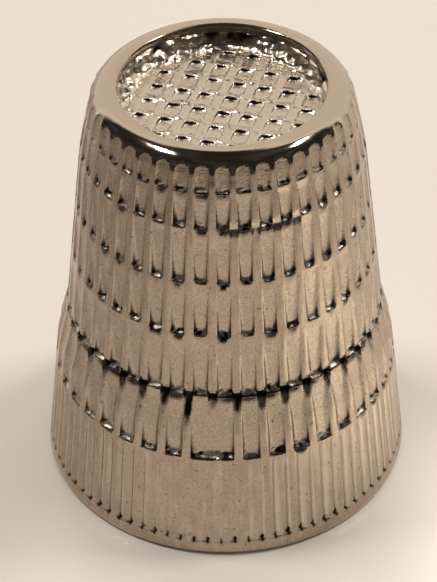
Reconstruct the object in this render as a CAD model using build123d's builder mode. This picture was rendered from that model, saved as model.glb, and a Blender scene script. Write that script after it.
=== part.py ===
from build123d import *

import os
from math import atan2, cos, degrees, sin, sqrt
from typing import NamedTuple

# Thimble: a single plated die casting, in millimetres.
#
# The origin is the centre of the mouth, on the plane the thimble stands on, and +Z runs up its axis.
# The wall leans in towards the crown. It carries six rings of pits. The floor of each pit sinks to a
# ledge at its foot, which stops the head of a needle. Below them are a finely reeded skirt and a smooth
# lip. The crown is a round bead about a sunken waffle floor, and the inside is a plain tapered socket
# for the fingertip.

# Overall size
HEIGHT = 22.0
BASE_RADIUS = 9.29
MOUTH_RADIUS = 8.0  # a size 16 thimble

# Outside wall: (height, radius) where its lean changes
BASE_CORNER = (0.0, BASE_RADIUS)
FLARE_FOOT = (7.3, 8.47)
FLARE_TOP = (9.35, 7.89)
SHOULDER_FOOT = (18.7, 6.81)
BEAD_FOOT = (21.2, 6.26)
WALL = (BASE_CORNER, FLARE_FOOT, FLARE_TOP, SHOULDER_FOOT, BEAD_FOOT)
WALL_BLENDS = (4.0, 2.0, 12.0)  # radii that round the three corners between its ends
LIP_ROUND = 0.25

# Crown
RECESS_RADIUS = 4.92
RECESS_FLOOR = 21.0
RECESS_EDGE = 0.12

# Finger socket: one taper from the mouth to its ceiling
SOCKET_TOP = 19.3
SOCKET_TOP_RADIUS = 5.5
SOCKET_CORNER = 1.6

# Rings of pits
COLUMNS = 42
PITCH = 360 / COLUMNS
FRONT = -90  # direction of the column that faces -Y, in degrees from +X
PROUD = 0.5  # how far a cutter stands out past the wall
LAND = 0.07  # plain metal between a ledge and the pit below it


class Ring(NamedTuple):
    """One ring of pits or grooves. Its ledge climbs from the wall in to the foot of the floor."""

    ledge: float  # height at which the ledge leaves the wall
    rise: float  # height of the ledge
    depth: float  # depth of the floor at the ledge
    head: float  # depth of the floor at its top end
    width: float
    corner: float  # radius of the two lower corners
    crest: float = 0.0  # radius of the two upper corners


CROWN_RING = Ring(ledge=20.33, rise=0.14, depth=0.14, head=0.0, width=0.66, corner=0.12, crest=0.3)
CROWN_RING_TOP = 21.62  # height at which its floors run out on the bead
WALL_RINGS = (
    Ring(ledge=18.60, rise=0.24, depth=0.22, head=0.05, width=0.63, corner=0.22),
    Ring(ledge=15.65, rise=0.24, depth=0.22, head=0.05, width=0.64, corner=0.22),
    Ring(ledge=12.75, rise=0.24, depth=0.22, head=0.05, width=0.68, corner=0.15),
    Ring(ledge=9.38, rise=0.28, depth=0.26, head=0.05, width=0.72, corner=0.12),
    Ring(ledge=5.92, rise=0.28, depth=0.26, head=0.04, width=0.88, corner=0.10),
)

# Reeding on the skirt: two fine grooves to each column
REED = Ring(ledge=0.80, rise=0.12, depth=0.12, head=0.03, width=0.20, corner=0.05)
REED_TOP = 5.80
REED_SHIFT = 0.55  # degrees from the middle of a column to the middle of its pair of grooves

# Waffle floor
WAFFLE_PITCH = 1.22
WAFFLE_TURN = -17.1  # degrees about +Z
WAFFLE_SHIFT = (0.29, -0.03)  # centre of the middle dimple, along the turned rows
WAFFLE_MOUTH = 0.82
WAFFLE_DEPTH = 0.14
WAFFLE_TAPER = 28
WAFFLE_EDGE = 4.80  # the dimples are cut off at this radius
WAFFLE_REACH = 9  # dimples along a row, more than the recess is wide


# The bead is an arc that carries on from the wall and ends level at the top
BEAD_LEAN = atan2(SHOULDER_FOOT[1] - BEAD_FOOT[1], BEAD_FOOT[0] - SHOULDER_FOOT[0])
BEAD_ROUND = (HEIGHT - BEAD_FOOT[0]) / (1 - sin(BEAD_LEAN))
BEAD_CENTRE = (HEIGHT - BEAD_ROUND, BEAD_FOOT[1] - BEAD_ROUND * cos(BEAD_LEAN))


def wall_radius(z):
    """Radius of the outside at height z, up the wall and over the bead."""
    for low, high in zip(WALL, WALL[1:]):
        if z <= high[0]:
            return low[1] + (high[1] - low[1]) * (z - low[0]) / (high[0] - low[0])
    return BEAD_CENTRE[1] + sqrt(BEAD_ROUND**2 - (z - BEAD_CENTRE[0]) ** 2)


def blank():
    """The plain turned shape: wall, bead and sunken crown outside, finger socket inside."""
    with BuildPart() as shell:
        with BuildSketch(Plane.XZ) as section:
            with BuildLine():
                corners = [(radius, z) for z, radius in WALL]
                wall = FilletPolyline(*corners, radius=WALL_BLENDS)
                bead = JernArc(wall @ 1, wall % 1, BEAD_ROUND, 90 - degrees(BEAD_LEAN))
                Polyline(
                    bead @ 1,
                    (RECESS_RADIUS, HEIGHT),
                    (RECESS_RADIUS, RECESS_FLOOR),
                    (0, RECESS_FLOOR),
                    (0, SOCKET_TOP),
                    (SOCKET_TOP_RADIUS, SOCKET_TOP),
                    (MOUTH_RADIUS, 0),
                    wall @ 0,
                )
            make_face()
            recess_corner = section.vertices().sort_by_distance((RECESS_RADIUS, RECESS_FLOOR))[0]
            recess_rim = section.vertices().sort_by_distance((RECESS_RADIUS, HEIGHT))[0]
            fillet((recess_corner, recess_rim), RECESS_EDGE)
            socket_corner = section.vertices().sort_by_distance((SOCKET_TOP_RADIUS, SOCKET_TOP))[0]
            fillet(socket_corner, SOCKET_CORNER)
            fillet(section.vertices().group_by(Axis.Y)[0], LIP_ROUND)
        revolve(axis=Axis.Z)
    return shell.part


def pit_cutter(ring, top):
    """Cutter for one pit, on the +X side: its floor sinks from the top to the inner end of the ledge."""
    ledge_radius = wall_radius(ring.ledge)
    foot_height = ring.ledge + ring.rise
    foot_radius = wall_radius(foot_height) - ring.depth
    drop = PROUD * ring.rise / (ledge_radius - foot_radius)
    with BuildPart() as cutter:
        with BuildSketch(Plane.XZ):
            with BuildLine():
                Polyline(
                    (ledge_radius + PROUD, ring.ledge - drop),
                    (foot_radius, foot_height),
                    (wall_radius(top) - ring.head, top),
                    (ledge_radius + PROUD, top),
                    close=True,
                )
            make_face()
        extrude(amount=ring.width / 2, both=True)
        ends = cutter.faces().filter_by(Axis.Y, reverse=True).sort_by(Axis.Z)
        for end, radius in ((ends[0], ring.corner), (ends[-1], ring.crest)):
            if radius:
                edges = end.edges().group_by(Axis.Y)
                fillet(edges[0] + edges[-1], radius)
    return cutter.part


def waffle():
    """Cutter for the dimples: square frustums on a turned grid, cut off short of the recess wall."""
    plane = Plane.XY.offset(RECESS_FLOOR).rotated((0, 0, WAFFLE_TURN))
    with BuildPart() as dimples:
        with BuildSketch(plane):
            with Locations(WAFFLE_SHIFT):
                with GridLocations(WAFFLE_PITCH, WAFFLE_PITCH, WAFFLE_REACH, WAFFLE_REACH):
                    Rectangle(WAFFLE_MOUTH, WAFFLE_MOUTH)
        extrude(amount=-WAFFLE_DEPTH, taper=WAFFLE_TAPER)
        with BuildSketch(Plane.XY.offset(RECESS_FLOOR)):
            Circle(WAFFLE_EDGE)
        extrude(amount=-HEIGHT, mode=Mode.INTERSECT)
    return dimples.part


with BuildPart() as thimble:
    add(blank())
    add(waffle(), mode=Mode.SUBTRACT)
    with PolarLocations(0, COLUMNS, start_angle=FRONT):
        add(pit_cutter(CROWN_RING, CROWN_RING_TOP), mode=Mode.SUBTRACT)
    for above, ring in zip((CROWN_RING, *WALL_RINGS), WALL_RINGS):
        cutter = pit_cutter(ring, above.ledge - LAND)
        with PolarLocations(0, COLUMNS, start_angle=FRONT):
            add(cutter, mode=Mode.SUBTRACT)
    # The lowest ring has one blank field, two columns wide: its cutter once more, between two columns.
    with PolarLocations(0, 1, start_angle=FRONT - PITCH / 2):
        add(cutter, mode=Mode.SUBTRACT)
    with PolarLocations(0, 2 * COLUMNS, start_angle=FRONT + PITCH / 4 + REED_SHIFT):
        add(pit_cutter(REED, REED_TOP), mode=Mode.SUBTRACT)

os.makedirs("parts", exist_ok=True)
thimble.part.label = "thimble"
export_step(thimble.part, "parts/thimble.step")
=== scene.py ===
"""Thimble: the looks of a nickel-plated die casting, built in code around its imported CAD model."""

from math import atan2, ceil, cos, pi, radians, sin, tau
from typing import NamedTuple

import bpy
import numpy as np
from mathutils import Matrix, Vector
from mathutils.geometry import delaunay_2d_cdt
from mathutils.noise import noise


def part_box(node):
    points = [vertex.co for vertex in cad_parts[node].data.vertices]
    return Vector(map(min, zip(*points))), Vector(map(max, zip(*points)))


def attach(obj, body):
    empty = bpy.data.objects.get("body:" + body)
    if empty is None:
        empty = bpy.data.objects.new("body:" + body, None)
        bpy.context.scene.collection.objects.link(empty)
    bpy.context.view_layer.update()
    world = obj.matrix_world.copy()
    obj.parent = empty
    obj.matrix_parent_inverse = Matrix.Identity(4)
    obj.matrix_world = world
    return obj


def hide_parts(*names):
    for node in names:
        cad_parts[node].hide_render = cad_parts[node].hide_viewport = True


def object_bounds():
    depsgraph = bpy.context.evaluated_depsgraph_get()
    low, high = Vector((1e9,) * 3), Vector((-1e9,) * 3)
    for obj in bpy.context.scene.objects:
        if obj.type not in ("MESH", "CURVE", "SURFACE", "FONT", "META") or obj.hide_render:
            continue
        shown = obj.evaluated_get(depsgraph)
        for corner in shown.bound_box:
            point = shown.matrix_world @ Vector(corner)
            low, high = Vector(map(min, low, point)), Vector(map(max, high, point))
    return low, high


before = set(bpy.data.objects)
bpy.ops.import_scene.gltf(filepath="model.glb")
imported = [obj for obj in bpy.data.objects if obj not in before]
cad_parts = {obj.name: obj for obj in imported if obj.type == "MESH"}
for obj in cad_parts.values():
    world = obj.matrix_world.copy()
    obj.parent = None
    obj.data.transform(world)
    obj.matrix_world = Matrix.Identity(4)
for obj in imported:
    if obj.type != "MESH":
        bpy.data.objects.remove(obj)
cad_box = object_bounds()
_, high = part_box("thimble")
MM = 0.001

# ---------------------------------------------------------------- sizes, in millimetres

HEIGHT = high.z / MM
LIP_ROUND = 0.25
LIP_RADIUS = high.x / MM  # where the rounded lip meets the wall
MOUTH_RADIUS = 8.0

# Outside wall: (height, radius) where its lean changes, and half the height over which each of the
# three corners between its ends is eased
FLARE_FOOT = (7.3, 8.47)
FLARE_TOP = (9.35, 7.89)
SHOULDER_FOOT = (18.7, 6.81)
BEAD_FOOT = (21.2, 6.26)
WALL = ((LIP_ROUND, LIP_RADIUS), FLARE_FOOT, FLARE_TOP, SHOULDER_FOOT, BEAD_FOOT)
EASES = (0.35, 0.18, 0.7)

# Bead: an arc that carries on from the wall and ends level at the top
BEAD_LEAN = atan2(SHOULDER_FOOT[1] - BEAD_FOOT[1], BEAD_FOOT[0] - SHOULDER_FOOT[0])
BEAD_ROUND = (HEIGHT - BEAD_FOOT[0]) / (1 - sin(BEAD_LEAN))
BEAD_CENTRE = (HEIGHT - BEAD_ROUND, BEAD_FOOT[1] - BEAD_ROUND * cos(BEAD_LEAN))

RECESS_RADIUS = 4.92
RECESS_FLOOR = 21.0
RECESS_EDGE = 0.12
CRUST_TOP = 21.62  # the recess's wall is smooth above this height
CRUST_LUMPS = 0.19  # height of the crystals on the crust

SOCKET_TOP = 19.3
SOCKET_TOP_RADIUS = 5.5
SOCKET_CORNER = 1.6


class Ring(NamedTuple):
    """One ring of pits, as in the CAD model, with how uneven the casting left it."""

    ledge: float  # height at which the ledge leaves the wall
    rise: float  # height of the ledge
    depth: float  # depth of the floor at the ledge
    width: float
    corner: float  # radius of the two lower corners
    uneven: float  # how far a ledge may sit above or below its place
    rubble: float  # how far rough casting climbs the floor above the ledge


COLUMNS = 42
PITCH = tau / COLUMNS
FRONT = -pi / 2  # direction of the column that faces -Y
RINGS = (
    Ring(ledge=20.33, rise=0.12, depth=0.13, width=0.70, corner=0.16, uneven=0.03, rubble=0.10),
    Ring(ledge=18.53, rise=0.18, depth=0.25, width=0.66, corner=0.28, uneven=0.05, rubble=0.10),
    Ring(ledge=15.58, rise=0.18, depth=0.25, width=0.66, corner=0.28, uneven=0.06, rubble=0.10),
    Ring(ledge=12.70, rise=0.18, depth=0.25, width=0.70, corner=0.22, uneven=0.05, rubble=0.45),
    Ring(ledge=9.30, rise=0.22, depth=0.30, width=0.78, corner=0.12, uneven=0.04, rubble=0.45),
    Ring(ledge=5.86, rise=0.20, depth=0.28, width=0.90, corner=0.12, uneven=0.04, rubble=0.15),
)
PIT_GAP = 0.05  # plain metal between a ledge and the pit below it
HEAD = 0.03  # depth of a pit's floor at its upper end, except in the first ring
CROWN_TOP = 21.66  # the first ring's floors run out on the bead here
CROWN_ROUND = 0.33  # radius of their upper ends
SIDE_DEPTH = 0.45  # depth of the pits at the sides, as a share of their depth at the front and back
DEPTH_SPREAD = 0.15  # how much deeper or shallower a pit may be
CORNER_SPREAD = 0.5  # how much rounder or sharper its lower corners
TILT = 0.35  # steepest sideways slope of a ledge
BANK = 0.05  # width of a pit's side banks
LOW_BANK = 0.13  # extra width just above a ledge, on the side further from the front or back
LOW_BANK_FADE = 0.6  # over this height it fades out
BLANK_FIELD = -0.5  # the lowest ring's double pit sits between column -1 and column 0
RUBBLE = 0.03  # height of the fine lumps on the floors above the ledges
EXTRA_RUBBLE = 0.02  # added in the rings where they climb high
LEDGE_LUMPS = 0.10  # height of the soft lumps on the ledges themselves

# Rough bands that join a ring's ledges across the ribs: the length of what hangs down some of the ribs,
# by rib. Rib 0 is between column 0 and column 1.
LONG_RUNS = {-4: 0.3, -3: 0.5, -2: 1.1, 0: 0.5, 1: 0.35, 2: 0.4, 3: 0.35}
SHORT_RUNS = {0: 0.05, 1: 0.09, 2: 0.05, 3: 0.06}
BAND_TOP = 0.34  # height of a band above the ledges

# Waves in the skin, and a brown stain under the bead at the front
WAVES = 0.006
WAVES_FOOT = 1.0  # the lip has none
BEAD_WAVES = 0.007  # added on the polished bead
STAIN_HEIGHT = 20.9
STAIN_REACH = 0.5  # up and down
STAIN_TURN = 0.3  # round the bead, in radians
STAIN_STRENGTH = 0.5

# Reeding: two fine grooves to each column, deeper towards the sides
REED_FOOT = 0.80
REED_TOP = 5.75
REED_WIDTH = 0.20
REED_DEPTH = 0.085
REED_DOT = 0.19  # extra depth where a groove ends
REED_DOT_WIDTH = 0.10
PLEAT = 0.035  # depth of the pleats between the grooves
REED_SHIFT = radians(0.55)  # from the middle of a column to the middle of its pair of grooves

# Waffle
WAFFLE_PITCH = 1.22
WAFFLE_TURN = radians(-17.1)  # about +Z
WAFFLE_SHIFT = (0.40, 0.02)  # centre of the middle dimple, along the turned rows
WAFFLE_MOUTH = 0.78
WAFFLE_BANK = 0.05
WAFFLE_DEPTH = 0.15
WAFFLE_CORNER = 0.2
WAFFLE_GRAIN = 0.028  # height of the lumps all over the floor


# ---------------------------------------------------------------- outline

def ramp(x, ease):
    """0 below zero and x above it, with a rounded corner of the given half width."""
    return np.where(abs(x) < ease, (x + ease) ** 2 / (4 * ease), np.maximum(x, 0))


def outer_radius(z):
    """Radius of the plain outside at height z, up the wall and over the bead."""
    z = np.asarray(z, float)
    leans = [(b[1] - a[1]) / (b[0] - a[0]) for a, b in zip(WALL, WALL[1:])]
    radius = WALL[0][1] + leans[0] * (z - WALL[0][0])
    for corner, before, after, ease in zip(WALL[1:], leans, leans[1:], EASES):
        radius = radius + (after - before) * ramp(z - corner[0], ease)
    over = np.clip(z - BEAD_CENTRE[0], 0, BEAD_ROUND)
    bead = BEAD_CENTRE[1] + np.sqrt(BEAD_ROUND**2 - over**2)
    return np.where(z > BEAD_FOOT[0], bead, radius)


# ---------------------------------------------------------------- relief of the wall

class Cut(NamedTuple):
    """What the relief does at some points."""

    depth: np.ndarray  # how far the surface is sunk
    rough: np.ndarray  # 1 in the pits
    painted_shade_and_stain: np.ndarray  # 1 where painted shade darkens hollows, grooves and corners, and on the stain under the bead
    crust_and_highlight: np.ndarray  # 1 where the casting is a shiny crust of crystals, and along the painted highlight lines beside the skirt's grooves


class Odds(NamedTuple):
    """How far each pit of a ring is from regular, from -1 to 1, column by column."""

    height: np.ndarray
    depth: np.ndarray
    corner: np.ndarray
    tilt: np.ndarray


def most(cuts):
    """The greatest of each value of several cuts."""
    return Cut(*(np.maximum.reduce(values) for values in zip(*cuts)))


def smooth_min(a, b, ease):
    """The lesser of a and b, with a rounded crossing."""
    share = np.clip(0.5 + 0.5 * (b - a) / ease, 0, 1)
    return b + (a - b) * share - ease * share * (1 - share)


def step(x, start, end):
    """Smooth step from 0 at start to 1 at end."""
    t = np.clip((x - start) / (end - start), 0, 1)
    return t * t * (3 - 2 * t)


def bell(x, width):
    """1 at zero, falling off over width on both sides."""
    return np.exp(-((x / width) ** 2))


def lumps(angle, z, radius, scale, seed):
    """Soft noise from -1 to 1 at points of the wall, with bumps about scale millimetres across."""
    angle, z, radius = np.broadcast_arrays(angle, z, radius)
    points = np.stack((radius * np.cos(angle), radius * np.sin(angle), z), axis=-1) / scale + 17.3 * seed
    return np.array([noise(Vector(p)) for p in points])


def inside(across, up, half_width, corner):
    """Distance in from the edge of a trough whose foot is at up = 0, with rounded lower corners."""
    side = half_width - abs(across)
    in_corner = (side < corner) & (up < corner)
    return np.where(in_corner, corner - np.hypot(corner - side, corner - up), np.minimum(side, up))


def columns_of(angle):
    """The nearest column's number, and the angle from its middle."""
    column = np.rint(angle / PITCH).astype(int)
    return column, angle - column * PITCH


def facing(angle):
    """1 on the front and back, falling to 0 at the sides, where the die's halves met."""
    return step(abs(np.cos(angle)), 0.2, 0.75)


def pit_cut(ring, above, angle, z, radius, odds, odds_above):
    """One ring's pits, which start just under the ledges of the ring above."""
    column, off = columns_of(angle)
    number = column % COLUMNS
    top = CROWN_TOP
    if above:
        top = above.ledge + above.uneven * odds_above.height[number] - PIT_GAP
    half_width = ring.width / 2
    tilt = TILT * odds.tilt[number]
    if ring is RINGS[-1]:
        blank = (column == -1) | (column == 0)
        off = np.where(blank, angle - BLANK_FIELD * PITCH, off)
        half_width = half_width + blank * radius * PITCH / 2
        number = np.where(blank, 0, number)
        tilt = np.where(blank, 0, tilt)
    across = off * radius
    side = half_width - abs(across)
    ledge = ring.ledge + ring.uneven * odds.height[number]
    foot = ledge + ring.rise

    # The floor sinks from the top to the foot, and banks climb from it to the ledge's lip and the ribs.
    sunk_by = (SIDE_DEPTH + (1 - SIDE_DEPTH) * facing(angle)) * (1 + DEPTH_SPREAD * odds.depth[number])
    depth = ring.depth * sunk_by
    head = 0 if ring is RINGS[0] else HEAD * sunk_by
    head_radius = outer_radius(top) - head
    foot_radius = outer_radius(foot) - depth
    down = np.clip((top - z) / (top - foot), 0, 1)
    floor = radius - (head_radius + (foot_radius - head_radius) * down)
    edge = inside(across, z - ledge, half_width, ring.corner * (1 + CORNER_SPREAD * odds.corner[number]))
    climb = np.clip(edge / ring.rise, 0, 1)
    foot_bank = depth * (0.5 * climb + 0.5 * np.sqrt(climb * (2 - climb)))
    low = np.exp(-np.maximum(z - foot, 0) / LOW_BANK_FADE)
    outer = np.clip(0.5 + 1.6 * np.sin(angle) * np.sign(across), 0.1, 1)
    bank = BANK + LOW_BANK * low * outer
    side_bank = side * depth / bank
    if ring is RINGS[0]:
        top_bank = inside(across, top - z, half_width, CROWN_ROUND) * depth / BANK
        side_bank = np.minimum(side_bank, top_bank)
    cut = smooth_min(floor, smooth_min(foot_bank, side_bank, 0.04), 0.05)
    cut = np.where((z < top) & (z > ledge - 0.01), np.maximum(cut, 0), 0)
    within = np.clip(cut / 0.03, 0, 1)

    # Rough casting lies on the ledge, and a finer grit climbs the floor above it.
    high_rubble = ring.rubble > 0.3
    ledge_zone = 1 - step(z, foot, foot + 0.12)
    rubble_zone = 1 - step(z, foot, foot + ring.rubble)
    fine = (RUBBLE + EXTRA_RUBBLE * high_rubble) * lumps(angle, z, radius, scale=0.17, seed=ring.ledge)
    lumpy = lumps(angle, z, radius, scale=0.24, seed=ring.ledge + 1)
    soft = LEDGE_LUMPS * lumpy - tilt * across
    lift = rubble_zone * (fine + 0.5 * abs(fine)) + ledge_zone * soft
    crust_and_highlight = within * np.maximum(ledge_zone, 0.5 * rubble_zone * high_rubble)

    # Painted shade darkens the hollows of the ledge, along its lip (most at the front) and at the foot of
    # the side banks (most on the side further from the front).
    crevice_shade = np.clip(-2.2 * lumpy - 0.1, 0, 0.9) * ledge_zone
    front = 1 - step(abs(angle), 0.4, 0.9)
    lip_shade = bell(edge - 0.015, 0.035) * ledge_zone * (0.7 + 0.3 * front)
    bank_shade = bell(side - bank / 2, 0.02 + bank / 2) * np.clip(cut / (0.05 + 0.12 * (1 - low)), 0, 1)
    bank_shade = bank_shade * (0.4 + 0.6 * outer) * (0.15 + 0.85 * low)
    bank_shade = bank_shade * step(z - ledge, 0.3 * ring.rise, ring.rise)
    painted_shade_and_stain = within * np.maximum.reduce((lip_shade, bank_shade, crevice_shade))
    return Cut(np.maximum(cut - within * lift, 0), within, painted_shade_and_stain, crust_and_highlight)


def band_cut(ring, lengths, strength, angle, z, radius):
    """A rough band that joins a ring's ledges across the ribs, with runs of it hanging down them."""
    rib = np.floor(angle / PITCH).astype(int)
    across = (angle - (rib + 0.5) * PITCH) * radius
    length = lengths[rib % COLUMNS]
    foot = ring.ledge - length
    climb = (z - foot) / np.maximum(length, 0.01)
    half_width = 0.10 + 0.16 * np.clip(climb, 0, 1)
    slope = np.clip(climb / 0.4, 0, 1)
    side = np.clip((half_width - abs(across)) / 0.07, 0, 1)
    head = np.clip((ring.ledge + BAND_TOP - z) / 0.08, 0, 1)
    cut = strength * ring.depth * slope * side * head * (0.3 + 0.7 * facing(angle)) * (length > 0)
    within = np.clip(cut / 0.06, 0, 1)
    # Painted shade darkens the band, most where it hangs down the ribs.
    hanging = 1 - step(z, ring.ledge - 0.05, ring.ledge + 0.1)
    return Cut(cut, 0 * cut, strength * within * (0.3 + 0.7 * hanging), within)


def with_runs(lengths, runs):
    """The length of what hangs on each rib, where some ribs have a run of their own."""
    for rib, length in runs.items():
        lengths[rib] = length
    return lengths


def reed_cut(angle, z, radius):
    """The fine grooves on the skirt, each ending in a deeper dot, with slight pleats between them."""
    spacing = PITCH / 2
    start = angle - REED_SHIFT - spacing / 2
    number = np.rint(start / spacing).astype(int)
    off = (start - number * spacing) * radius
    turned = step(abs(np.sin(angle + radians(8))), 0.12, 0.5)
    strength = 0.25 + 0.75 * turned
    fade = np.clip((REED_TOP - z) / 0.3, 0, 1) * np.clip((z - REED_FOOT) / 0.1, 0, 1)
    groove = REED_DEPTH * bell(off, 0.32 * REED_WIDTH) * strength
    pleat = PLEAT * turned * (0.5 + 0.5 * np.cos(tau * off / (spacing * radius)))
    size, shift = REED_ODDS[:, number % (2 * COLUMNS)]
    dot = (0.75 + 0.25 * size) * bell(off, REED_DOT_WIDTH)
    dot = dot * bell(z - REED_FOOT - 0.12 - 0.05 * shift, 0.12)
    # Painted shade darkens the grooves, less on the right, lit side, and the dots at their ends.
    lit_side = step(np.sin(angle), 0.1, 0.5)
    painted_shade_and_stain = 0.45 * strength * (1 - 0.5 * lit_side) * bell(off, 0.06) * fade
    # A painted highlight: a thin bright line beside each groove, towards the sides, given to the crust
    # mask.
    ridge_highlight = 0.8 * bell(off - 0.085, 0.04) * turned * fade
    cut = (groove + pleat) * fade + REED_DOT * dot
    return Cut(cut, 0 * cut, np.maximum(painted_shade_and_stain, dot), ridge_highlight)


def relief(angle, z, radius):
    """Everything sunk in the wall."""
    cuts = [reed_cut(angle, z, radius)]
    cuts += [band_cut(*band, angle, z, radius) for band in BANDS]
    for ring, above, odds, odds_above in zip(RINGS, (None, *RINGS), PIT_ODDS, (None, *PIT_ODDS)):
        cuts.append(pit_cut(ring, above, angle, z, radius, odds, odds_above))
    return most(cuts)


# The accidents of the casting. Each band is a ring, the length of what hangs on each rib, and a strength.
rng = np.random.RandomState(7)
PIT_ODDS = [Odds(*rng.uniform(-1, 1, (4, COLUMNS))) for _ in RINGS]
REED_ODDS = rng.uniform(-1, 1, (2, 2 * COLUMNS))  # size and height of the dots
BANDS = (
    (RINGS[4], with_runs(rng.uniform(0.06, 0.2, COLUMNS), LONG_RUNS), 1),
    (RINGS[1], with_runs(np.zeros(COLUMNS), SHORT_RUNS), 0.45),
)


# ---------------------------------------------------------------- stations of the wall's grid

def row_heights():
    """Heights of the wall's rows, close together on the ledges and where the reeding ends."""
    heights = [LIP_ROUND, 0.45, 0.65, 0.75, 0.82, 0.9, 1.0, 1.1, 1.25]
    for ring in RINGS[::-1]:
        heights += spaced(heights[-1], ring.ledge - 0.04, 0.45)
        heights += [ring.ledge + rise for rise in (0, 0.04, 0.08, 0.12, 0.17, 0.23, 0.30, 0.38, 0.50)]
        if ring.rubble > 0.3:
            heights += [ring.ledge + rise for rise in (0.60, 0.70)]
    return heights + spaced(heights[-1], BEAD_FOOT[0], 0.15)


def spaced(start, end, gap):
    """Evenly spaced values after start, up to and including end."""
    return list(np.linspace(start, end, ceil(abs(end - start) / gap) + 1)[1:])


def column_angles(z):
    """Angles of the grid's lines at height z: they follow the pits' banks, and the grooves below."""
    half_widths = np.interp(z, [r.ledge for r in RINGS[::-1]], [r.width / 2 for r in RINGS[::-1]])
    radius = float(outer_radius(z))
    edge = half_widths / radius
    foot = edge - BANK / radius
    rib = PITCH / 2
    half = [0, 0.36 * foot, 0.72 * foot, foot, (foot + edge) / 2, edge, (edge + rib) / 2, rib]
    pit_lines = np.array([-x for x in half[:0:-1]] + half[:-1])
    near, far = 0.035 / radius, 0.085 / radius
    groove = np.array([-far, -near, 0, near, far])
    first = REED_SHIFT - PITCH / 4 + groove
    second = REED_SHIFT + PITCH / 4 + groove
    reed_lines = np.concatenate((
        [-rib, (first[0] - rib) / 2], first, [REED_SHIFT], second, [(second[-1] + rib) / 2],
    ))
    share = float(np.clip((z - REED_TOP + 0.25) / 0.2, 0, 1))
    lines = share * pit_lines + (1 - share) * reed_lines
    return np.concatenate([lines + column * PITCH for column in range(-COLUMNS // 2, COLUMNS // 2)])


# ---------------------------------------------------------------- the mesh, ring by ring

class Skin:
    """Points and faces of one closed mesh.

    The masks say, from 0 to 1, how rough each point is, how much painted shade and the stain darken it,
    how much crust and painted highlight it has, and how polished it is.
    """

    def __init__(self):
        self.points = []
        self.faces = []
        self.masks = []

    def ring(self, radius, z, angles, rough=0, painted_shade_and_stain=0, crust_and_highlight=0, polish=0):
        """Adds one ring of points and returns their numbers."""
        start = len(self.points)
        radius, z, *masks, _ = np.broadcast_arrays(radius, z, rough, painted_shade_and_stain, crust_and_highlight, polish, angles)
        directions = angles + FRONT
        self.points += list(zip(radius * np.cos(directions), radius * np.sin(directions), z))
        self.masks += list(zip(*masks))
        return np.arange(start, len(self.points))

    def point(self, place, rough=0, painted_shade_and_stain=0, crust_and_highlight=0):
        """Adds one point and returns its number."""
        self.points.append(place)
        self.masks.append((rough, painted_shade_and_stain, crust_and_highlight, 0))
        return len(self.points) - 1

    def join(self, first, second):
        """Faces between two rings. The second may have fewer points, by a whole factor."""
        factor = len(first) // len(second)
        for i in range(len(second)):
            after = (i + 1) % len(second)
            edge = [first[(i * factor + j) % len(first)] for j in range(factor + 1)]
            self.faces.append([int(n) for n in (*edge, second[after], second[i])])


def arc(centre, radius, start, end, count):
    """(radius, height) points along an arc, angles in degrees from outwards, ends included."""
    turns = np.radians(np.linspace(start, end, count))
    return [(centre[0] + radius * cos(t), centre[1] + radius * sin(t)) for t in turns]


def build_skin():
    """The whole thimble: up the outside, over the bead, into the recess, and back up the socket."""
    skin = Skin()
    rings = []
    lip_angles = column_angles(LIP_ROUND)
    lip_centre = (LIP_RADIUS - LIP_ROUND, LIP_ROUND)
    for radius, z in arc(lip_centre, LIP_ROUND, -90, -20, 4):
        rings.append(skin.ring(radius, z, lip_angles))
    for z in row_heights():
        rings.append(wall_ring(skin, outer_radius(z), z, column_angles(z)))
    top_angles = column_angles(BEAD_FOOT[0])
    bead_centre = (BEAD_CENTRE[1], BEAD_CENTRE[0])
    for radius, z in arc(bead_centre, BEAD_ROUND, np.degrees(BEAD_LEAN), 90, 13)[1:]:
        rings.append(wall_ring(skin, radius, z, top_angles))
    edge_centre = (RECESS_RADIUS + RECESS_EDGE, HEIGHT - RECESS_EDGE)
    for radius, z in arc(edge_centre, RECESS_EDGE, 90, 180, 5)[1:]:
        rings.append(skin.ring(radius, z, top_angles, polish=0.6))
    rings += recess_rings(skin, top_angles)
    for first, second in zip(rings, rings[1:]):
        skin.join(first, second)
    add_waffle(skin, rings[-1])
    add_socket(skin, rings[0], lip_angles)
    return skin


def wall_ring(skin, radius, z, angles):
    """One ring of points up the wall or over the bead, sunk by the relief."""
    cut = relief(angles, z, radius)
    waves = WAVES * lumps(angles, z, radius, scale=1.4, seed=3)
    if z > BEAD_FOOT[0] - 0.3:
        waves = waves + BEAD_WAVES * lumps(angles, z, radius, scale=0.55, seed=4)
    sunk = cut.depth + waves * (z > WAVES_FOOT)
    polish = step(z, BEAD_FOOT[0] - 0.2, BEAD_FOOT[0] + 0.25) * (1 - cut.rough)
    stain = STAIN_STRENGTH * bell(z - STAIN_HEIGHT, STAIN_REACH) * bell(angles, STAIN_TURN)
    painted_shade_and_stain = np.maximum(cut.painted_shade_and_stain, stain * np.clip(1 - cut.depth / 0.03, 0, 1))
    return skin.ring(radius - sunk, z, angles, cut.rough, painted_shade_and_stain, cut.crust_and_highlight, polish)


def crust_reach(angle):
    """How far the crust spreads in from the recess's wall: it is widest towards the back."""
    back = abs(angle)
    return 0.14 + 0.44 * step(back, 1.2, 2.0) * (1 - step(back, 2.85, 3.1))


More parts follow.
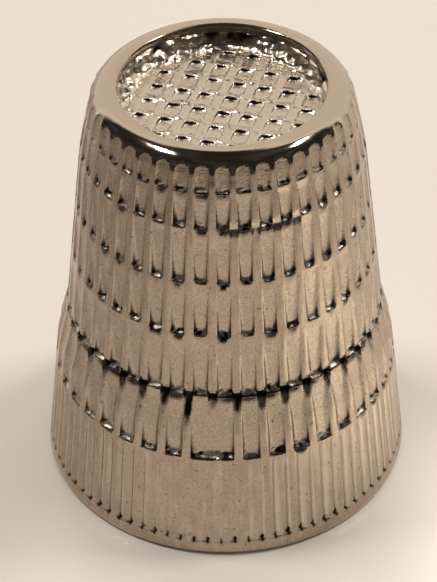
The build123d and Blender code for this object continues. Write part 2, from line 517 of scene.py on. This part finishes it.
def recess_rings(skin, angles):
    """The recess's wall: smooth above, then a sloping crust of rough casting down to the waffle."""
    rings = []
    for z in spaced(HEIGHT - RECESS_EDGE, CRUST_TOP, 0.15):
        # Painted shade darkens the smooth wall of the recess.
        rings.append(skin.ring(RECESS_RADIUS, z, angles, painted_shade_and_stain=0.35))
    roughest = 1 - step(abs(angles), 2.8, 3.05)
    drop = CRUST_TOP - RECESS_FLOOR
    for t in spaced(0, 1, 1 / 13):
        radius = RECESS_RADIUS - crust_reach(angles) * t**1.2
        z = CRUST_TOP - drop * sin(t * pi / 2) ** 1.2
        bumps = lumps(angles, z, radius, scale=0.42, seed=5)
        bumps = bumps + 0.15 * lumps(angles, z, radius, scale=0.2, seed=6)
        patches = lumps(angles, z, radius, scale=1.1, seed=8)
        fade = step(t, 0, 0.12) * (1 - step(t, 0.85, 1.0))
        lift = CRUST_LUMPS * (bumps + 0.2) * (0.25 + 0.75 * roughest) * fade
        # Painted shade: darker in the lumps' hollows, in patches and at the very back, fading out towards
        # the waffle.
        shade_and_stain_amount = np.clip(0.12 + 0.7 * (1 - roughest) - 0.8 * bumps + 1.3 * patches, 0, 1) * (1 - t)
        rings.append(skin.ring(radius - 0.8 * lift, z + 0.6 * lift, angles, painted_shade_and_stain=shade_and_stain_amount, crust_and_highlight=roughest))
    return rings


def dimple(x, y):
    """Depth of the square dimples at a point of the crown's floor, and whether it is on a back bank.

    Each dimple's floor is uneven and deepest at the back, where a steep bank ends it, except in the far
    right corner, where some dimples have a gentle ramp instead.
    """
    turned = (x + 1j * y) * np.exp(-1j * WAFFLE_TURN)
    u = turned.real - WAFFLE_SHIFT[0]
    v = turned.imag - WAFFLE_SHIFT[1]
    row, number = round(v / WAFFLE_PITCH), round(u / WAFFLE_PITCH)
    odd = Vector((0.73 * number, 0.57 * row, 5.1))
    u = u - number * WAFFLE_PITCH + 0.05 * noise(odd)
    v = v - row * WAFFLE_PITCH
    half = WAFFLE_MOUTH / 2
    edge = max(float(inside(u, half - v, half, WAFFLE_CORNER)), 0)
    bank = edge * WAFFLE_DEPTH / WAFFLE_BANK
    floor = WAFFLE_DEPTH * (0.6 + 0.4 * noise(-odd) + 0.4 * (v + half) / WAFFLE_MOUTH)
    ramp_foot = half - 0.24 + 0.2 * max(noise(3 * odd), -0.3)
    ramp_up = 0.5 * (0.97 * (half - v) + 0.24 * (half - u)) + 0.5 * max(ramp_foot - u, 0)
    near_back = edge > 0 and half - v < WAFFLE_BANK + 0.04
    back_bank = near_back and half - abs(u) > 0.08 and u < ramp_foot + 0.05
    return float(smooth_min(min(bank, ramp_up), floor, 0.03)), back_bank


def waffle_lines(shift):
    """Positions of grid lines across the crown: close together on the dimples' banks."""
    half = WAFFLE_MOUTH / 2
    foot = half - WAFFLE_BANK
    steps = (0, 0.4 * half, foot - 0.05, foot, half - WAFFLE_BANK / 2, half, half + 0.05)
    one = [-s for s in steps[:0:-1]] + list(steps) + [WAFFLE_PITCH / 2]
    reach = ceil(RECESS_RADIUS / WAFFLE_PITCH) + 1
    lines = [shift + n * WAFFLE_PITCH + s for n in range(-reach, reach + 1) for s in one]
    return np.array([s for s in lines if abs(s) < RECESS_RADIUS])


def add_waffle(skin, rim):
    """The crown's floor: a grid that follows the dimples, fitted into the foot of the cove."""
    u, v = np.meshgrid(waffle_lines(WAFFLE_SHIFT[0]), waffle_lines(WAFFLE_SHIFT[1]))
    grid = (u + 1j * v).ravel() * np.exp(1j * WAFFLE_TURN)
    grid = grid[inside_crust(grid) > 0.04]
    around = [Vector(skin.points[n][:2]) for n in rim]
    flat = around + [Vector((p.real, p.imag)) for p in grid]
    outline = [(n, (n + 1) % len(rim)) for n in range(len(rim))]
    points, _, faces, origins, _, _ = delaunay_2d_cdt(flat, outline, [], 1, 1e-6)
    numbers = {}
    for n, (point, origin) in enumerate(zip(points, origins)):
        if origin and origin[0] < len(rim):
            numbers[n] = int(rim[origin[0]])
            continue
        depth, back_bank = dimple(point.x, point.y)
        clear = inside_crust(point.x + 1j * point.y)
        bumps = noise(Vector((*point, 0)) / 0.5) + 0.5 * noise(Vector((*point, 4)) / 0.2)
        z = RECESS_FLOOR - depth * float(step(clear, -0.05, 0.12)) + WAFFLE_GRAIN * bumps
        # Painted shade darkens the dimples' back banks.
        numbers[n] = skin.point((point.x, point.y, z), rough=0.3, painted_shade_and_stain=0.95 * back_bank, crust_and_highlight=0.5)
    skin.faces += [[numbers[n] for n in face] for face in faces]


def inside_crust(place):
    """Distance in from the crust's foot to a place on the crown's floor, given as x + iy."""
    angle = np.angle(place * 1j)  # round from -Y
    return RECESS_RADIUS - crust_reach(angle) - abs(place)


def add_socket(skin, lip, lip_angles):
    """The inside, with fewer points round it: lip, tapered wall, rounded corner and ceiling."""
    slope = (MOUTH_RADIUS - SOCKET_TOP_RADIUS) / SOCKET_TOP
    inner = arc((MOUTH_RADIUS + LIP_ROUND, LIP_ROUND), LIP_ROUND, 270, 180, 4)
    inner += [(MOUTH_RADIUS - slope * z, z) for z in spaced(LIP_ROUND, SOCKET_TOP - 1.5, 1.5)]
    corner_radius = SOCKET_TOP_RADIUS + slope * SOCKET_CORNER - SOCKET_CORNER
    inner += arc((corner_radius, SOCKET_TOP - SOCKET_CORNER), SOCKET_CORNER, 8, 90, 8)
    inner += [(corner_radius * share, SOCKET_TOP) for share in (0.66, 0.33)]
    coarse = lip_angles[::7]
    last = lip
    for radius, z in inner:
        ring = skin.ring(radius, z, coarse, rough=0.5)
        join_down(skin, last, ring)
        last = ring
    centre = skin.point((0.0, 0.0, SOCKET_TOP), rough=0.5)
    skin.faces += [[int(last[i]), int(last[i - 1]), centre] for i in range(len(last))]


def join_down(skin, first, second):
    """As Skin.join, for a surface that faces the axis or the floor."""
    count = len(skin.faces)
    skin.join(first, second)
    skin.faces[count:] = [face[::-1] for face in skin.faces[count:]]


def thimble_object():
    """The thimble's mesh as an object that stands for the CAD node."""
    skin = build_skin()
    mesh = bpy.data.meshes.new("thimble")
    mesh.from_pydata([(x * MM, y * MM, z * MM) for x, y, z in skin.points], [], skin.faces)
    mesh.polygons.foreach_set("use_smooth", [True] * len(mesh.polygons))
    for name, values in zip(("rough", "painted_shade_and_stain", "crust_and_highlight", "polish"), zip(*skin.masks)):
        mesh.attributes.new(name, "FLOAT", "POINT").data.foreach_set("value", np.array(values, float))
    mesh.update()
    piece = bpy.data.objects.new("thimble_casting", mesh)
    bpy.context.scene.collection.objects.link(piece)
    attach(piece, "root")
    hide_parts("thimble")
    return piece


# ---------------------------------------------------------------- materials

def new_material(name):
    """A node material, its node tree and its Principled shader."""
    material = bpy.data.materials.new(name)
    material.use_nodes = True
    return material, material.node_tree, material.node_tree.nodes["Principled BSDF"]


def node(tree, kind, inputs, **settings):
    """A new node: its settings, and each input either set to a value or linked from a socket."""
    made = tree.nodes.new("ShaderNode" + kind)
    for name, value in settings.items():
        setattr(made, name, value)
    for name, value in inputs.items():
        if isinstance(value, bpy.types.NodeSocket):
            tree.links.new(value, made.inputs[name])
        else:
            made.inputs[name].default_value = value
    return made


def maths(tree, operation, *values):
    """Output of a maths node on sockets or numbers."""
    return node(tree, "Math", dict(enumerate(values)), operation=operation).outputs[0]


def blend(tree, factor, a, b):
    """Colour that goes from a to b with the factor."""
    return node(tree, "Mix", {"Factor": factor, "A": a, "B": b}, data_type="RGBA").outputs["Result"]


def between(tree, value, start, end, low=0.0, high=1.0):
    """Smooth step of a socket, from low at start to high at end."""
    inputs = {"Value": value, "From Min": start, "From Max": end, "To Min": low, "To Max": high}
    return node(tree, "MapRange", inputs, interpolation_type="SMOOTHSTEP").outputs["Result"]


def texture(tree, place, size, detail=2.0, stretch=1.0):
    """Noise with features about size millimetres across, drawn out up the axis by stretch."""
    scaled = node(tree, "Mapping", {"Vector": place, "Scale": (1, 1, 1 / stretch)}).outputs["Vector"]
    inputs = {"Vector": scaled, "Scale": 1 / (size * MM), "Detail": detail}
    return node(tree, "TexNoise", inputs).outputs["Fac"]


def mask(tree, name):
    """One of the mesh's painted values."""
    return node(tree, "Attribute", {}, attribute_name=name).outputs["Fac"]


# Colours of the metal
RIB_LIGHT = (0.50, 0.41, 0.325, 1)
RIB_DARK = (0.455, 0.37, 0.29, 1)
DRAWN_LIGHT = (0.58, 0.485, 0.39, 1)
DRAWN_DARK = (0.38, 0.305, 0.235, 1)
GRAIN_DARK = (0.36, 0.29, 0.225, 1)
PIT_LIGHT = (0.60, 0.50, 0.405, 1)
PIT_DARK = (0.46, 0.375, 0.295, 1)
# The crust's crystals, also used for the painted highlight lines beside the skirt's grooves
CRYSTAL_AND_HIGHLIGHT = (0.76, 0.67, 0.56, 1)
POLISHED = (0.52, 0.433, 0.347, 1)
SPECK = (0.14, 0.09, 0.07, 1)
# Near black: painted shade in hollows, grooves and corners, and the stain under the bead
SHADE_AND_STAIN = (0.04, 0.026, 0.021, 1)

# Colours of the stage
# Painted shadow: the table's tone at the left
TABLE_PAINTED_SHADOW = (0.46, 0.42, 0.375, 1)
TABLE_RIGHT = (0.80, 0.733, 0.658, 1)
WALL_EDGE = (1.08, 1.01, 0.89, 1)
WALL_MIDDLE = (0.93, 0.863, 0.755, 1)
DARK_ROOM = (0.03, 0.026, 0.024, 1)
DIM_ROOM = (0.09, 0.075, 0.072, 1)


def nickel():
    """Warm nickel plating: polished bead, satin ribs, sandy pits, painted shade in the corners and
    hollows, and painted highlight lines on the skirt.
    """
    material, tree, shader = new_material("nickel_plate")
    place = node(tree, "TexCoord", {}).outputs["Object"]
    rough, painted_shade_and_stain, polish = mask(tree, "rough"), mask(tree, "painted_shade_and_stain"), mask(tree, "polish")
    crust_and_highlight = mask(tree, "crust_and_highlight")
    grain = texture(tree, place, 0.11, detail=3)
    mottle = texture(tree, place, 0.9, detail=4)
    streak = texture(tree, place, 0.22, detail=3, stretch=14)
    crumbs = texture(tree, place, 0.13, detail=1)
    specks = between(tree, texture(tree, place, 0.22, detail=0), 0.78, 0.83)

    plain = blend(tree, between(tree, mottle, 0.35, 0.65), RIB_LIGHT, RIB_DARK)
    plain = blend(tree, between(tree, streak, 0.5, 0.75), plain, DRAWN_LIGHT)
    plain = blend(tree, between(tree, streak, 0.22, 0.42), DRAWN_DARK, plain)
    plain = blend(tree, between(tree, grain, 0.3, 0.5), GRAIN_DARK, plain)
    sandy = blend(tree, between(tree, grain, 0.35, 0.7), PIT_DARK, PIT_LIGHT)
    colour = blend(tree, rough, plain, sandy)
    colour = blend(tree, maths(tree, "MULTIPLY", specks, 0.6), colour, SPECK)
    colour = blend(tree, crust_and_highlight, colour, CRYSTAL_AND_HIGHLIGHT)
    colour = blend(tree, polish, colour, POLISHED)
    # Painted shade and the stain: where the mask is high, broken up by the crumbs, the metal turns near
    # black.
    shade_and_stain_amount = maths(tree, "MULTIPLY", painted_shade_and_stain, between(tree, crumbs, 0.25, 0.6, 1.0, 0.85))
    colour = blend(tree, between(tree, shade_and_stain_amount, 0.15, 0.65), colour, SHADE_AND_STAIN)
    tree.links.new(colour, shader.inputs["Base Color"])
    shader.inputs["Metallic"].default_value = 1.0

    satin = between(tree, mottle, 0.3, 0.7, 0.16, 0.24)
    satin = maths(tree, "ADD", satin, maths(tree, "MULTIPLY", maths(tree, "ADD", rough, crust_and_highlight), 0.1))
    shine = maths(tree, "MULTIPLY", satin, between(tree, polish, 0, 1, 1.0, 0.42))
    tree.links.new(shine, shader.inputs["Roughness"])

    sand = maths(tree, "MULTIPLY", grain, maths(tree, "MULTIPLY_ADD", rough, 0.018, 0.006))
    drawn = maths(tree, "MULTIPLY", streak, 0.008)
    crystals = maths(tree, "MULTIPLY", crumbs, maths(tree, "MULTIPLY", crust_and_highlight, 0.018))
    height = maths(tree, "ADD", sand, drawn)
    height = maths(tree, "MULTIPLY", height, between(tree, polish, 0, 1, 1.0, 0.15))
    height = maths(tree, "ADD", height, crystals)
    bump = node(tree, "Bump", {"Height": height, "Distance": MM})
    tree.links.new(bump.outputs["Normal"], shader.inputs["Normal"])
    return material


def table():
    """The pale, slightly glossy surface the thimble stands on, with a painted shadow that darkens it at
    the left.
    """
    material, tree, shader = new_material("pale_table")
    place = node(tree, "TexCoord", {}).outputs["Object"]
    across = node(tree, "SeparateXYZ", {0: place}).outputs["X"]
    # A painted shadow darkens the table towards the left.
    right = between(tree, across, -32 * MM, -12 * MM)
    tone = blend(tree, right, TABLE_PAINTED_SHADOW, TABLE_RIGHT)
    tree.links.new(tone, shader.inputs["Base Color"])
    shader.inputs["Roughness"].default_value = 0.22
    return material


# ---------------------------------------------------------------- stage, in metres

LAMP_DISTANCE = 0.6
POOL_DISTANCE = 0.2
WARM_WHITE = (1.0, 0.97, 0.92)


def add_floor():
    """A wide plain table top just under the thimble."""
    half = 1.5
    corners = [(-half, -half, 0), (half, -half, 0), (half, half, 0), (-half, half, 0)]
    mesh = bpy.data.meshes.new("floor")
    mesh.from_pydata(corners, [], [(0, 1, 2, 3)])
    floor = bpy.data.objects.new("floor", mesh)
    bpy.context.scene.collection.objects.link(floor)
    floor.location.z = cad_box[0][2] - 0.01 * MM
    mesh.materials.append(table())


def towards(azimuth, elevation):
    """Unit vector by degrees round from -Y towards +X, and degrees above the horizon."""
    a, e = radians(azimuth), radians(elevation)
    return Vector((sin(a) * cos(e), -cos(a) * cos(e), sin(e)))


def aimed_back(direction):
    """Rotation of a lamp or camera that sits in the given direction and points back."""
    return direction.to_track_quat("Z", "Y")


def add_lamp(name, azimuth, elevation, size, power, colour, seen=True):
    """A soft rectangular lamp that points at the thimble. Reflections show it only if it is seen."""
    light = bpy.data.lights.new(name, "AREA")
    light.shape = "RECTANGLE"
    light.size, light.size_y = size
    light.energy = power
    light.color = colour
    lamp = bpy.data.objects.new(name, light)
    direction = towards(azimuth, elevation)
    lamp.location = direction * LAMP_DISTANCE
    lamp.rotation_euler = aimed_back(direction).to_euler()
    lamp.visible_glossy = seen
    bpy.context.scene.collection.objects.link(lamp)


def add_pool(name, place, width, energy):
    """A small soft pool of light on the table."""
    light = bpy.data.lights.new(name, "SPOT")
    light.energy = energy
    light.spot_size = radians(width)
    light.spot_blend = 1.0
    light.shadow_soft_size = 0.003
    light.color = WARM_WHITE
    lamp = bpy.data.objects.new(name, light)
    direction = towards(60 if place[0] > 0 else -60, 60)
    lamp.location = Vector(place) + direction * POOL_DISTANCE
    lamp.rotation_euler = aimed_back(direction).to_euler()
    lamp.visible_glossy = False
    bpy.context.scene.collection.objects.link(lamp)


def add_world():
    """A room with a bright wall behind the thimble, brightest at its edge, and dim elsewhere."""
    world = bpy.data.worlds.new("room")
    bpy.context.scene.world = world
    world.use_nodes = True
    tree = world.node_tree
    place = node(tree, "TexCoord", {}).outputs["Generated"]
    split = node(tree, "SeparateXYZ", {0: place}).outputs
    wider = between(tree, split["X"], -0.1, 0.3, 0.0, 0.17)
    dip = between(tree, maths(tree, "ABSOLUTE", split["X"]), 0.02, 0.22, -0.16, 0.0)
    behind = maths(tree, "ADD", split["Y"], maths(tree, "ADD", wider, dip))
    clouds = node(tree, "TexNoise", {"Vector": place, "Scale": 2.6, "Detail": 3.0}).outputs["Fac"]
    murk = between(tree, clouds, 0.45, 0.75)
    dark = blend(tree, murk, DARK_ROOM, DIM_ROOM)
    wall = blend(tree, between(tree, behind, 0.58, 0.68), WALL_EDGE, WALL_MIDDLE)
    room = blend(tree, between(tree, behind, 0.46, 0.58), dark, wall)
    tree.links.new(room, tree.nodes["Background"].inputs["Color"])


def add_camera():
    """The photograph's angle: well above the thimble, a long lens, and a slight roll."""
    direction = towards(0.5, 39.74)
    distance = 0.1137
    target = Vector((-0.0003, 0, 0.00937))
    roll = Matrix.Rotation(radians(-0.81), 3, "Z")
    camera = bpy.data.objects.new("camera", bpy.data.cameras.new("camera"))
    camera.data.sensor_width = 36
    camera.data.lens = 139.95
    camera.data.clip_start = 0.01
    camera.data.clip_end = 10
    camera.location = target + direction * distance
    camera.rotation_euler = (aimed_back(direction).to_matrix() @ roll).to_euler()
    bpy.context.scene.collection.objects.link(camera)
    bpy.context.scene.camera = camera


add_camera()
bpy.context.scene.view_settings.view_transform = "Standard"
casting = thimble_object()
casting.data.materials.append(nickel())
add_floor()
add_world()
add_lamp("lamp_left", -104, 65.5, (0.14, 0.052), 1.4, WARM_WHITE)
add_lamp("lamp_right", 107, 58, (0.12, 0.05), 1.25, WARM_WHITE)
add_lamp("fill", 45, 62, (0.8, 0.8), 1.0, (1.0, 0.96, 0.91), seen=False)
add_pool("pool_right", (0.022, -0.0095, 0), 8, 1.8)
add_pool("pool_left", (-0.0085, -0.0095, 0), 2.2, 0.4)
